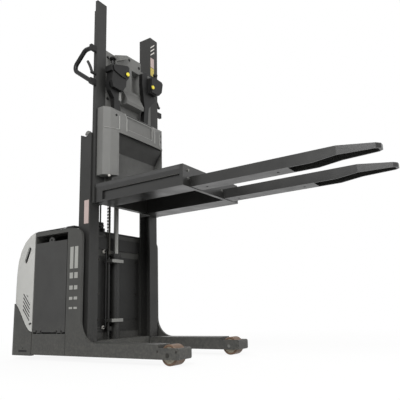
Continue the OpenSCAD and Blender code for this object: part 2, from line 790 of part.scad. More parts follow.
module control_pod_right() color(black) translate([pod_x, 0, 0]) {
    front_profile(up([[-289, 305], [-304, 204], [-292, 163], [-243, 110], [-243, 8], [-172, 8],
        [-177, 100], [-177, 153], [-146, 222], [-140, 282], [-108, 325], [-108, 410], [-128, 418],
        [-296, 362], [-305, 355], [-305, 310]]), 0, neck_t);
    front_profile(up([[-289, 305], [-300, 230], [-282, 180], [-182, 180], [-146, 232], [-140, 282],
        [-108, 325], [-108, 410], [-128, 418], [-296, 362], [-305, 355], [-305, 310]]), neck_t, head_t);
    front_profile(up([[-281, 315], [-200, 296], [-146, 296], [-118, 330], [-118, 400], [-130, 406],
        [-292, 352]]), head_t, head_t + cap_t);
}

module control_pod_left() color(black) translate([pod_x, 0, 0]) {
    front_profile(up([[83, 360], [112, 160], [100, 8], [150, 8], [165, 170], [250, 270], [230, 299],
        [150, 299], [150, 470], [135, 488], [83, 455]]), 0, neck_t);
    front_profile(up([[150, 299], [230, 299], [270, 320], [306, 360], [320, 440], [306, 458],
        [232, 462], [175, 458], [150, 432]]), 0, head_t);
    front_profile(up([[160, 309], [228, 309], [264, 328], [297, 364], [309, 438], [300, 448],
        [234, 452], [180, 448], [160, 428]]), head_t, head_t + cap_t);
}

module pod_buttons() color(yellow) for (at = [[-142, 334], [168, 350]])
    translate([pod_x + head_t + cap_t, at[0], console_top + at[1]]) rotate([0, 90, 0])
        cylinder(d = 30, h = 12);

// Grab handle: bent tube standing behind brackets on the lifting rail
grab_y = -mast_out - 25;
grab_r = 17;
lug_y = 19;
lug_z = 22;
grab_bend = 48;
tube_lap = 2;
bend_swell = 0.4;
grab_points = [[8, 2314], [-64, 2318], [-194, 2195], [8, 2038]];

function heading(p, q) = atan2(q[1] - p[1], q[0] - p[0]);
function turn_at(pts, i) = let (t = heading(pts[i], pts[i + 1]) - heading(pts[i - 1], pts[i]))
    t > 180 ? t - 360 : t < -180 ? t + 360 : t;
function trim_at(pts, i, bend) =
    i == 0 || i == len(pts) - 1 ? 0 : bend * tan(abs(turn_at(pts, i)) / 2);
function step(a, d) = d * [cos(a), sin(a)];

module bent_tube(pts, y, r, bend) {
    for (i = [0:len(pts) - 2]) {
        a = heading(pts[i], pts[i + 1]);
        p = pts[i] + step(a, max(trim_at(pts, i, bend) - tube_lap, 0));
        q = pts[i + 1] - step(a, max(trim_at(pts, i + 1, bend) - tube_lap, 0));
        translate([p[0], y, p[1]]) rotate([0, 90 - a, 0]) cylinder(r = r, h = norm(q - p));
    }
    for (i = [1:len(pts) - 2]) {
        a = heading(pts[i - 1], pts[i]);
        t = turn_at(pts, i);
        side = t > 0 ? 1 : -1;
        c = pts[i] - step(a, trim_at(pts, i, bend)) + step(a + 90 * side, bend);
        translate([c[0], y, c[1]]) rotate([90, 0, 0]) rotate([0, 0, t > 0 ? a - 90 : a + t + 90])
            rotate_extrude(angle = abs(t)) translate([bend, 0]) circle(r = r + bend_swell);
    }
}

module grab_handle(left) color(black) other_side(left) translate([flange_x, 0, 0]) {
    bent_tube(grab_points, grab_y, grab_r, grab_bend);
    for (i = [0, len(grab_points) - 1])
        block([0, grab_y - lug_y, grab_points[i][1] - lug_z],
            [flange_t, -mast_out + rail_wall, grab_points[i][1] + lug_z]);
}

module grab_handle_right() grab_handle(false);
module grab_handle_left() grab_handle(true);

chassis_base();
drive_frame();
leg_right();
leg_left();
rear_bumper();
body_shell();
battery();
mast_rail_right();
mast_rail_left();
mast_ties();
lift_cylinder();
cylinder_clamps();
lift_chain_fixed();
front_cover();
hood_pins();
door_hinges();
load_axle_right();
load_axle_left();
load_tread_right();
load_hub_right();
load_tread_left();
load_hub_left();
drive_head();
drive_motor();
drive_tread();
drive_hub();
battery_door_right();
battery_door_left();
motor_hood();
lift_rod();
chain_pulley();
lifting_rail_right();
lifting_rail_left();
rail_rollers();
crosshead();
back_panel();
platform_frame();
platform_floor();
fork_plate();
fork_right();
fork_left();
console_cowl();
console_lower();
control_pod_right();
control_pod_left();
pod_buttons();
grab_handle_right();
grab_handle_left();
lift_chain_moving();
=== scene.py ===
"""Order picker truck: finishes, small parts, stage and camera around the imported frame.

Laid out as an add-on: property groups hold what a user would change, one operator makes
each group of pieces, and one panel lists them. Sizes are in metres.
"""

import json
import math

import bmesh
import bpy
from bpy.props import FloatProperty, FloatVectorProperty, IntProperty, PointerProperty
from mathutils import Matrix, Vector

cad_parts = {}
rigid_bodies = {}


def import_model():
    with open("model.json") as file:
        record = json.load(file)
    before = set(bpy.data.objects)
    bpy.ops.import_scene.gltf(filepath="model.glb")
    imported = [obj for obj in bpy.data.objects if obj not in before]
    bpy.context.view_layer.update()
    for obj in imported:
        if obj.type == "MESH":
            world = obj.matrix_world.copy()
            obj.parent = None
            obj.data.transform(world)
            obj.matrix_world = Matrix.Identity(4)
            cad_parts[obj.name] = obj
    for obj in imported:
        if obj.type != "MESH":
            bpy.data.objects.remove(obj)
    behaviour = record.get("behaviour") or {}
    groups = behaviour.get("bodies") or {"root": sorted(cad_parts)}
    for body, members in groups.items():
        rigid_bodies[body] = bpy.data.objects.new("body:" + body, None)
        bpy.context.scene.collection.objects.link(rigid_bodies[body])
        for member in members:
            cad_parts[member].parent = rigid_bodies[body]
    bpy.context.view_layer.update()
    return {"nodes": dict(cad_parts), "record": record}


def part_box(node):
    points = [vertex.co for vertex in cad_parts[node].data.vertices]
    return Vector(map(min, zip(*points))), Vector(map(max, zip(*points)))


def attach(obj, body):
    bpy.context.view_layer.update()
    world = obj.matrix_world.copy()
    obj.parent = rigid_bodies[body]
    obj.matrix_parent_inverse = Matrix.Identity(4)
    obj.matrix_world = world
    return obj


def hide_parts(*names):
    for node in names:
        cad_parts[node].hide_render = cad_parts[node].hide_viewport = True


bl_info = {
    "name": "Order Picker Truck",
    "version": (1, 0, 0),
    "blender": (4, 5, 0),
    "location": "View3D > Sidebar > Order Picker",
    "description": "Finishes, small parts and stage for an order picker truck",
    "category": "Object",
}

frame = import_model()
NODES = frame["nodes"]
BODY_OF = {node: body for body, nodes in frame["record"]["behaviour"]["bodies"].items() for node in nodes}


def low(node):
    return Vector(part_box(node)[0])


def high(node):
    return Vector(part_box(node)[1])


# Colours are linear light
def linear(hex_colour):
    values = [int(hex_colour[i:i + 2], 16) / 255 for i in (1, 3, 5)]
    return tuple(v / 12.92 if v <= 0.04045 else ((v + 0.055) / 1.055) ** 2.4 for v in values)


def colour_property(name, description, hex_colour):
    return FloatVectorProperty(
        name=name, description=description, subtype="COLOR", size=3, min=0.0, max=1.0,
        default=linear(hex_colour))


class TruckColours(bpy.types.PropertyGroup):
    body_paint: colour_property("Body paint", "Satin paint of the chassis and legs", "#3b3b39")
    mast_paint: colour_property("Mast paint", "Darker satin paint of the mast rails", "#262625")
    platform: colour_property("Platform", "Dark gloss paint of the platform and forks", "#171716")
    wall: colour_property("Wall", "Dark cover and ties of the front wall", "#1c1c1b")
    door: colour_property("Door", "Satin paint of the battery doors", "#333332")
    hood: colour_property("Hood", "Pale moulded hood over the drive motor", "#a9a9a6")
    console: colour_property("Console", "Moulded console", "#5c5c5a")
    pods: colour_property("Pods", "Control pods and grab handles", "#0f0f0f")
    buttons: colour_property("Buttons", "Yellow push buttons", "#d8c83a")
    tread: colour_property("Tread", "Polyurethane of the load wheels", "#5c4634")
    hub: colour_property("Hub", "Moulded hubs of the load wheels", "#8f8878")
    motif: colour_property("Side bars", "Pale bars on the side plates", "#8b8b87")
    steel: colour_property("Steel", "Bare steel of rod, chain and bolts", "#7c7c79")


class TruckStage(bpy.types.PropertyGroup):
    floor: colour_property("Floor", "Pale floor under the truck", "#e8e8e6")
    floor_white: FloatProperty(
        name="Floor white", description="Share of plain white that the camera sees in the floor",
        default=0.9, min=0.0, max=1.0, subtype="FACTOR")
    key_power: FloatProperty(
        name="Key power", description="Strength of the large soft key light", default=300.0, min=0.0)
    fill_power: FloatProperty(
        name="Fill power", description="Strength of the two lights behind", default=110.0, min=0.0)
    bounce_power: FloatProperty(
        name="Bounce power", description="Strength of the light thrown back by the floor", default=45.0, min=0.0)
    world_light: FloatProperty(
        name="World light", description="Strength of the even light all round", default=0.42, min=0.0)


class TruckTrim(bpy.types.PropertyGroup):
    bar_count: IntProperty(
        name="Side bars", description="Pale bars in each column of the side plates", default=5, min=3, max=12)
    bar_width: FloatProperty(
        name="Bar width", description="Width of one pale bar", default=0.034, min=0.01, max=0.04, unit="LENGTH")
    bolt_radius: FloatProperty(
        name="Bolt radius", description="Radius of the small bolt heads", default=0.008, min=0.004,
        max=0.014, unit="LENGTH")
    stripe_count: IntProperty(
        name="Stripes", description="Slanted stripes on the lifting rail", default=3, min=1, max=6)
    louvre_count: IntProperty(
        name="Louvres", description="Slanted louvres on each side of the hood", default=5, min=2, max=5)
    mat_ribs: IntProperty(
        name="Mat ribs", description="Ribs of the floor mat", default=34, min=10, max=60)


# Shader expressions
class Socket:
    """Wraps a shader socket so that maths on it adds nodes."""

    def __init__(self, graph, socket):
        self.graph = graph
        self.socket = socket

    def math(self, operation, other=None, flip=False):
        inputs = [self] if other is None else ([other, self] if flip else [self, other])
        return self.graph.node("ShaderNodeMath", {"operation": operation}, inputs)

    def __add__(self, other):
        return self.math("ADD", other)

    __radd__ = __add__

    def __mul__(self, other):
        return self.math("MULTIPLY", other)

    __rmul__ = __mul__

    def __sub__(self, other):
        return self.math("SUBTRACT", other)

    def __rsub__(self, other):
        return self.math("SUBTRACT", other, flip=True)

    def __gt__(self, other):
        return self.math("GREATER_THAN", other)

    def __lt__(self, other):
        return self.math("LESS_THAN", other)


class Graph:
    """A material's node tree with one method that adds any node."""

    def __init__(self, name):
        self.material = bpy.data.materials.new(name)
        self.material.use_nodes = True
        self.tree = self.material.node_tree
        self.shader = self.tree.nodes["Principled BSDF"]
        coordinates = self.tree.nodes.new("ShaderNodeTexCoord")
        self.place = Socket(self, coordinates.outputs["Object"])

    def fill(self, target, value):
        if isinstance(value, Socket):
            self.tree.links.new(value.socket, target)
        else:
            target.default_value = value

    def node(self, kind, options=None, inputs=(), output=0):
        made = self.tree.nodes.new(kind)
        for key, value in (options or {}).items():
            if key == "stops":
                ramp = made.color_ramp
                for i, (at, colour) in enumerate(value):
                    stop = ramp.elements[i] if i < 2 else ramp.elements.new(at)
                    stop.position = at
                    stop.color = (*colour, 1.0)
            else:
                setattr(made, key, value)
        pairs = inputs.items() if isinstance(inputs, dict) else enumerate(inputs)
        for key, value in pairs:
            if value is not None:
                self.fill(made.inputs[key], value)
        return Socket(self, made.outputs[output])

    def noise(self, scale, detail=3.0, roughness=0.55, stretch=None):
        place = self.place
        if stretch:
            place = self.node("ShaderNodeMapping", {}, {"Vector": place, "Scale": stretch})
        return self.node("ShaderNodeTexNoise", {}, {
            "Vector": place, "Scale": scale, "Detail": detail, "Roughness": roughness})

    def band(self, value, low_edge, high_edge, to_low=0.0, to_high=1.0):
        return self.node("ShaderNodeMapRange", {}, {
            "Value": value, "From Min": low_edge, "From Max": high_edge,
            "To Min": to_low, "To Max": to_high})

    def mix(self, factor, first, second):
        made = self.tree.nodes.new("ShaderNodeMix")
        made.data_type = "RGBA"
        for target, value in ((made.inputs[0], factor), (made.inputs[6], first), (made.inputs[7], second)):
            self.fill(target, (*value, 1.0) if isinstance(value, tuple) and len(value) == 3 else value)
        return Socket(self, made.outputs[2])

    def height(self):
        return self.node("ShaderNodeSeparateXYZ", {}, [self.place], output=2)

    def bump(self, height, distance, strength=1.0):
        self.fill(self.shader.inputs["Normal"], self.node("ShaderNodeBump", {}, {
            "Strength": strength, "Distance": distance, "Height": height}))

    def set(self, **sockets):
        names = {"colour": "Base Color", "roughness": "Roughness", "metallic": "Metallic",
                 "coat": "Coat Weight", "emission": "Emission Color"}
        for key, value in sockets.items():
            if isinstance(value, tuple) and len(value) == 3:
                value = (*value, 1.0)
            self.fill(self.shader.inputs[names[key]], value)
        return self.material

    def gloss(self, level):
        self.shader.inputs["Specular IOR Level"].default_value = level


def shade(colour, factor):
    return tuple(min(1.0, c * factor) for c in colour)


def satin_paint(name, colour, wear=1.0, roughness=0.46, gloss=0.3, grain=0.35):
    g = Graph(name)
    cloud = g.noise(5.0, 4.0)
    dust = g.band(g.height(), 0.0, 0.3, 0.16, 0.0) * g.band(g.noise(60.0, 5.0), 0.4, 0.7)
    fleck = g.band(g.noise(90.0, 2.0), 0.66, 0.74) * (0.35 * wear)
    base = g.mix(g.band(cloud, 0.3, 0.7), shade(colour, 0.92), shade(colour, 1.08))
    base = g.mix(dust, base, linear("#8a867c"))
    base = g.mix(fleck * g.band(cloud, 0.45, 0.6), base, shade(colour, 1.6))
    g.bump(g.noise(420.0, 2.0), 0.0004, grain)
    g.set(colour=base, roughness=g.band(g.noise(9.0), 0.3, 0.7, roughness, roughness + 0.12) + dust * 0.25)
    g.gloss(gloss)
    return g.material


def moulded_plastic(name, colour, grain=900.0, roughness=0.55, gloss=0.4):
    g = Graph(name)
    g.gloss(gloss)
    cloud = g.band(g.noise(4.0, 3.0), 0.3, 0.7)
    scuff = g.band(g.noise(60.0, 4.0, 0.7, (1.0, 1.0, 5.0)), 0.62, 0.72) * 0.3
    base = g.mix(cloud, shade(colour, 0.95), shade(colour, 1.05))
    base = g.mix(scuff, base, shade(colour, 1.25))
    g.bump(g.noise(grain, 2.0), 0.0003, 0.5)
    g.set(colour=base, roughness=g.band(g.noise(30.0), 0.3, 0.7, roughness - 0.07, roughness + 0.07))
    return g.material


def bare_steel(name, colour, stretch=(1.0, 1.0, 0.05)):
    g = Graph(name)
    brushed = g.noise(260.0, 3.0, 0.6, stretch)
    film = g.band(g.noise(12.0, 4.0), 0.45, 0.75)
    base = g.mix(film * 0.5, colour, shade(colour, 0.6))
    g.bump(brushed, 0.0002, 0.4)
    g.set(colour=base, roughness=g.band(brushed, 0.3, 0.7, 0.28, 0.45) + film * 0.15, metallic=0.85)
    return g.material


def rubber(name, colour, grain=200.0):
    g = Graph(name)
    cloud = g.band(g.noise(14.0, 4.0), 0.35, 0.7)
    g.bump(g.noise(grain, 3.0), 0.0006, 0.6)
    g.set(colour=g.mix(cloud, colour, shade(colour, 1.5)), roughness=g.band(cloud, 0.0, 1.0, 0.72, 0.85))
    return g.material


def flat_enamel(name, colour, roughness=0.35):
    g = Graph(name)
    cloud = g.band(g.noise(30.0, 3.0), 0.3, 0.7)
    g.set(colour=g.mix(cloud, shade(colour, 0.94), shade(colour, 1.04)),
          roughness=g.band(g.noise(60.0), 0.3, 0.7, roughness - 0.05, roughness + 0.08))
    return g.material


# Mesh helpers
def new_piece(name, mesh, body, material, replaced=()):
    piece = bpy.data.objects.new(name, mesh)
    bpy.context.scene.collection.objects.link(piece)
    mesh.materials.clear()
    mesh.materials.append(material)
    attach(piece, body)
    if replaced:
        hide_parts(*replaced)
    return piece


def mesh_from(name, build):
    bm = bmesh.new()
    build(bm)
    bmesh.ops.remove_doubles(bm, verts=bm.verts, dist=1e-6)
    bmesh.ops.recalc_face_normals(bm, faces=bm.faces)
    mesh = bpy.data.meshes.new(name)
    bm.to_mesh(mesh)
    bm.free()
    return mesh


def smooth(mesh, angle=35.0):
    mesh.polygons.foreach_set("use_smooth", [True] * len(mesh.polygons))
    mesh.set_sharp_from_angle(angle=math.radians(angle))
    return mesh


def add_block(bm, low_corner, high_corner, bevel=0.0, segments=2):
    low_corner, high_corner = Vector(low_corner), Vector(high_corner)
    middle = (low_corner + high_corner) / 2
    size = high_corner - low_corner
    made = bmesh.ops.create_cube(bm, size=1.0, matrix=Matrix.Translation(middle) @ Matrix.Diagonal((*size, 1)))
    if bevel > 0:
        edges = {e for v in made["verts"] for e in v.link_edges}
        bmesh.ops.bevel(bm, geom=list(edges), offset=bevel, segments=segments, affect="EDGES")


def add_rod(bm, start, end, radius, sides=24, bevel=0.0, end_radius=None):
    start, end = Vector(start), Vector(end)
    along = end - start
    turn = along.to_track_quat("Z", "Y").to_matrix().to_4x4()
    made = bmesh.ops.create_cone(
        bm, cap_ends=True, segments=sides, radius1=radius, radius2=end_radius or radius, depth=along.length,
        matrix=Matrix.Translation((start + end) / 2) @ turn)
    if bevel > 0:
        rims = [e for e in {e for v in made["verts"] for e in v.link_edges}
                if len(e.link_faces) == 2 and any(len(f.verts) > 4 for f in e.link_faces)]
        bmesh.ops.bevel(bm, geom=rims, offset=bevel, segments=2, affect="EDGES")


def add_pipe(bm, points, radius, sides=12, steps=8):
    """A rigid round pipe along a smooth curve through the points."""
    points = [Vector(p) for p in points]
    ends = [points[0] * 2 - points[1], *points, points[-1] * 2 - points[-2]]
    path = []
    for before, start, end, after in zip(ends, ends[1:], ends[2:], ends[3:]):
        for i in range(steps):
            t = i / steps
            path.append(0.5 * (2 * start + (end - before) * t + (2 * before - 5 * start + 4 * end - after) * t * t
                        + (3 * start - before - 3 * end + after) * t ** 3))
    path.append(points[-1])
    rings = []
    side = (path[1] - path[0]).orthogonal().normalized()
    for i, place in enumerate(path):
        along = (path[min(i + 1, len(path) - 1)] - path[max(i - 1, 0)]).normalized()
        side = (side - along * side.dot(along)).normalized()
        other = along.cross(side)
        rings.append([bm.verts.new(place + radius * (math.cos(a) * side + math.sin(a) * other))
                      for a in (2 * math.pi * k / sides for k in range(sides))])
    for first, second in zip(rings, rings[1:]):
        for k in range(sides):
            bm.faces.new((first[k], first[(k + 1) % sides], second[(k + 1) % sides], second[k]))
    bm.faces.new(rings[0][::-1])
    bm.faces.new(rings[-1])


def add_prism(bm, outline, push):
    """A closed prism: the outline's points, and the same points moved by push."""
    near = [bm.verts.new(Vector(p)) for p in outline]
    far = [bm.verts.new(Vector(p) + Vector(push)) for p in outline]
    bm.faces.new(near)
    bm.faces.new(far[::-1])
    for i in range(len(near)):
        j = (i + 1) % len(near)
        bm.faces.new((near[j], near[i], far[i], far[j]))


def hex_head(radius, height):
    """Mesh of a hexagon bolt head on a washer, its axis along Z."""
    def build(bm):
        add_rod(bm, (0, 0, 0), (0, 0, height * 0.25), radius * 1.35, 20)
        add_rod(bm, (0, 0, height * 0.25), (0, 0, height), radius, 6, radius * 0.12)
    return mesh_from("hex_head", build)


def round_head(radius, height):
    """Mesh of a round screw head with a socket, its axis along Z."""
    def build(bm):
        add_rod(bm, (0, 0, 0), (0, 0, height * 0.6), radius, 20)
        add_rod(bm, (0, 0, height * 0.6), (0, 0, height), radius, 20, end_radius=radius * 0.72)
        add_rod(bm, (0, 0, height * 0.9), (0, 0, height * 1.05), radius * 0.34, 6)
    return mesh_from("round_head", build)


# Repeats made with geometry nodes
class Tree:
    """A geometry node group with named inputs and one method that adds any node."""

    def __init__(self, name, inputs):
        self.group = bpy.data.node_groups.new(name, "GeometryNodeTree")
        self.group.interface.new_socket("Geometry", in_out="OUTPUT", socket_type="NodeSocketGeometry")
        self.start = self.group.nodes.new("NodeGroupInput")
        self.end = self.group.nodes.new("NodeGroupOutput")
        self.ids = {}
        self.group.interface.new_socket("Geometry", in_out="INPUT", socket_type="NodeSocketGeometry")
        for label, kind in inputs.items():
            made = self.group.interface.new_socket(label, in_out="INPUT", socket_type=kind)
            self.ids[label] = made.identifier

    def add(self, kind, links=None, values=None, **options):
        node = self.group.nodes.new(kind)
        for key, value in options.items():
            setattr(node, key, value)
        for key, source in (links or {}).items():
            self.group.links.new(source, node.inputs[key])
        for key, value in (values or {}).items():
            node.inputs[key].default_value = value
        return node


def scatter_tree():
    """Puts a small part on each point of the mesh, its Z axis along the point's normal attribute."""
    t = Tree("repeat_on_points", {
        "Part": "NodeSocketObject", "Size": "NodeSocketFloat", "Material": "NodeSocketMaterial"})
    part = t.add("GeometryNodeObjectInfo", {"Object": t.start.outputs["Part"]})
    facing = t.add("GeometryNodeInputNamedAttribute", values={"Name": "facing"}, data_type="FLOAT_VECTOR")
    turn = t.add("FunctionNodeAlignRotationToVector", {"Vector": facing.outputs["Attribute"]}, axis="Z")
    put = t.add("GeometryNodeInstanceOnPoints", {
        "Points": t.start.outputs["Geometry"], "Instance": part.outputs["Geometry"],
        "Rotation": turn.outputs["Rotation"], "Scale": t.start.outputs["Size"]})
    real = t.add("GeometryNodeRealizeInstances", {"Geometry": put.outputs["Instances"]})
    painted = t.add("GeometryNodeSetMaterial", {
        "Geometry": real.outputs["Geometry"], "Material": t.start.outputs["Material"]})
    t.group.links.new(painted.outputs["Geometry"], t.end.inputs["Geometry"])
    return t


def row_tree():
    """Repeats a small part in a straight row."""
    t = Tree("repeat_in_row", {
        "Part": "NodeSocketObject", "Count": "NodeSocketInt", "Step": "NodeSocketVector",
        "Material": "NodeSocketMaterial"})
    line = t.add("GeometryNodeMeshLine", {"Count": t.start.outputs["Count"], "Offset": t.start.outputs["Step"]})
    part = t.add("GeometryNodeObjectInfo", {"Object": t.start.outputs["Part"]})
    put = t.add("GeometryNodeInstanceOnPoints", {
        "Points": line.outputs["Mesh"], "Instance": part.outputs["Geometry"]})
    real = t.add("GeometryNodeRealizeInstances", {"Geometry": put.outputs["Instances"]})
    painted = t.add("GeometryNodeSetMaterial", {
        "Geometry": real.outputs["Geometry"], "Material": t.start.outputs["Material"]})
    t.group.links.new(painted.outputs["Geometry"], t.end.inputs["Geometry"])
    return t


def grow(name, base, part_mesh, tree, values):
    """Runs a tree on the base mesh and gives back the plain mesh that it makes."""
    part = bpy.data.objects.new(name + "_part", part_mesh)
    holder = bpy.data.objects.new(name + "_holder", base)
    for thing in (part, holder):
        bpy.context.scene.collection.objects.link(thing)
    modifier = holder.modifiers.new("repeat", "NODES")
    modifier.node_group = tree.group
    modifier[tree.ids["Part"]] = part
    for label, value in values.items():
        modifier[tree.ids[label]] = value
    bpy.context.view_layer.update()
    mesh = bpy.data.meshes.new_from_object(holder.evaluated_get(bpy.context.evaluated_depsgraph_get()))
    mesh.name = name
    for thing in (holder, part):
        bpy.data.objects.remove(thing)
    bpy.data.node_groups.remove(tree.group)
    return mesh


def repeat_part(name, part_mesh, places, body, material, size=1.0):
    """One piece made of a small part repeated at (point, facing) places."""
    points = bpy.data.meshes.new(name + "_points")
    points.from_pydata([tuple(at) for at, _ in places], [], [])
    facing = points.attributes.new("facing", "FLOAT_VECTOR", "POINT")
    facing.data.foreach_set("vector", [c for _, way in places for c in way])
    mesh = grow(name, points, part_mesh, scatter_tree(), {"Size": size, "Material": material})
    return new_piece(name, mesh, body, material)


def repeat_row(name, part_mesh, count, step, body, material):
    """One piece made of a small part repeated in a row from where its mesh stands."""
    holder = bpy.data.meshes.new(name + "_row")
    mesh = grow(name, holder, part_mesh, row_tree(), {"Count": count, "Step": step, "Material": material})
    return new_piece(name, mesh, body, material)


# Finishes of the carried-over nodes
FINISHES = {}


def make_finishes(colours):
    body = tuple(colours.body_paint)
    mast = tuple(colours.mast_paint)
    FINISHES.update({
        "painted_grey": satin_paint("body_paint", body),
        "painted_dark": satin_paint("mast_paint", mast, 0.6),
        "door_paint": satin_paint("door_paint", tuple(colours.door), 0.4),
        "platform_paint": satin_paint("platform_paint", tuple(colours.platform), 0.0, 0.3, 0.55, 0.0),
        "wall_paint": satin_paint("wall_paint", tuple(colours.wall), 0.4),
        "bumper_plastic": satin_paint("bumper_paint", body, 0.8),
        "pale_plastic": moulded_plastic("hood_plastic", tuple(colours.hood), 900.0, 0.5),
        "battery_case": moulded_plastic("battery_case", linear("#1d1d1d"), gloss=0.25),
        "steel": bare_steel("bare_steel", tuple(colours.steel)),
        "oiled_chain": bare_steel("oiled_chain", linear("#3a3936"), (1.0, 1.0, 1.0)),
        "polyurethane": flat_enamel("wheel_polyurethane", tuple(colours.tread), 0.5),
        "cream_hub": flat_enamel("wheel_hub", tuple(colours.hub), 0.45),
        "drive_rubber": rubber("drive_rubber", linear("#2a2a29")),
        "floor_mat": rubber("floor_mat", linear("#303030"), 320.0),
        "moulded_grey": moulded_plastic("console_plastic", tuple(colours.console), 800.0, 0.58),
        "pod_black": moulded_plastic("pod_plastic", tuple(colours.pods), 1100.0, 0.42, 0.25),
        "button_yellow": flat_enamel("button_yellow", tuple(colours.buttons), 0.3),
        # A copy of the console plastic 1.7 times lighter: painted highlight for the rib, lip and strip lines
        "console_highlight_paint": moulded_plastic("console_highlight_paint", shade(tuple(colours.console), 1.7), 800.0, 0.45),
        # Copies of the console plastic 0.62 and 0.3 times as bright: painted shade in the knee recess under the cowl
        "console_recess_shade": moulded_plastic("console_recess_shade", shade(tuple(colours.console), 0.62), 800.0, 0.6),
        "knee_painted_shade": rubber("knee_painted_shade", shade(tuple(colours.console), 0.3), 320.0),
        "pale_film": flat_enamel("pale_film", tuple(colours.motif), 0.5),
        "plate_rose": flat_enamel("plate_rose", linear("#a3928e"), 0.45),
        "plate_white": flat_enamel("plate_white", linear("#c9c6c0"), 0.45),
        "plate_yellow": flat_enamel("plate_yellow", linear("#a8984a"), 0.45),
    })


NODE_FINISH = {
    "battery_door_right": "door_paint", "battery_door_left": "door_paint", "front_cover": "wall_paint",
    "lift_chain_fixed": "oiled_chain", "lift_chain_moving": "oiled_chain", "mast_ties": "wall_paint",
    "lift_cylinder": "wall_paint", "door_hinges": "wall_paint", "platform_frame": "platform_paint", "fork_plate": "platform_paint",
    "fork_right": "platform_paint", "fork_left": "platform_paint",
}


class TRUCK_OT_finishes(bpy.types.Operator):
    """Give every CAD node its finish"""
    bl_idname = "truck.finishes"
    bl_label = "Finishes"

    def execute(self, context):
        make_finishes(context.scene.truck_colours)
        slots = {entry["node"]: entry["material_slot"] for entry in frame["record"]["subparts"]}
        for name, piece in NODES.items():
            for slot in piece.material_slots:
                slot.material = FINISHES[NODE_FINISH.get(name, slots[name])]
        return {"FINISHED"}


SIDES = (("right", -1), ("left", 1))
THIN = 0.0008


